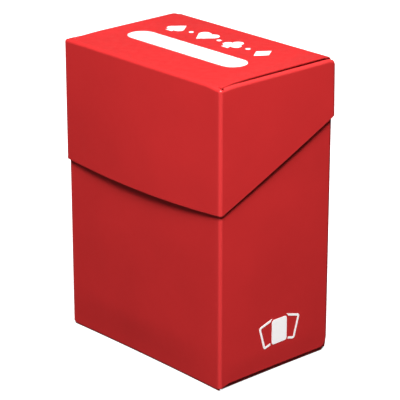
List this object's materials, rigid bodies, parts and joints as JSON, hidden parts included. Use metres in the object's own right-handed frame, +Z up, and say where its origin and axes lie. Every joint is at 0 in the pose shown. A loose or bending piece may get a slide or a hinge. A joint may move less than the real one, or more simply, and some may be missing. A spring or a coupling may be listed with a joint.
{
  "type": "card deck box",
  "caption": "Upright flip-lid box folded from plastic sheet, with a living hinge, slanted lid wings, a write-on label and a loose divider, for storing trading cards.",
  "frame": {"origin": "centre of the foot of the whole box, on the surface that it stands on", "axes": "+Z up, the front faces -Y, +X is to the right for someone who faces the front"},
  "size_m": [0.0722, 0.0478, 0.0971],
  "materials": {
    "red_sheet": "satin polypropylene sheet, opaque red",
    "red_divider": "satin polypropylene sheet, opaque red",
    "white_label": "matt white write-on ink",
    "white_print": "white screen-printed ink",
    "clear_adhesive": "clear film adhesive"
  },
  "bodies": {
    "body": {"front_panel": "red_sheet", "back_panel": "red_sheet", "bottom_panel": "red_sheet", "left_side_panel": "red_sheet", "right_side_panel": "red_sheet", "left_glue_flap": "red_sheet", "right_glue_flap": "red_sheet", "left_dust_flap": "red_sheet", "right_dust_flap": "red_sheet", "left_side_adhesive": "clear_adhesive", "right_side_adhesive": "clear_adhesive", "hinge_strip": "red_sheet", "side_print": "white_print"},
    "lid": {"lid_top": "red_sheet", "lid_front": "red_sheet", "left_wing": "red_sheet", "right_wing": "red_sheet", "left_wing_tab": "red_sheet", "right_wing_tab": "red_sheet", "lid_adhesive": "clear_adhesive", "label_strip": "white_label", "top_print": "white_print"},
    "divider": {"divider": "red_divider"}
  },
  "joints": [
    {"name": "lid_hinge", "type": "hinge", "parent": "body", "child": "lid", "pos_m": [0, 0.0239, 0.097], "axis": [-1, 0, 0], "range_deg": [0, 260], "deforming": ["hinge_strip"]},
    {"name": "divider_slide", "type": "slide", "parent": "body", "child": "divider", "axis": [0, 1, 0], "range_m": [-0.0315, 0.01345]}
  ]
}
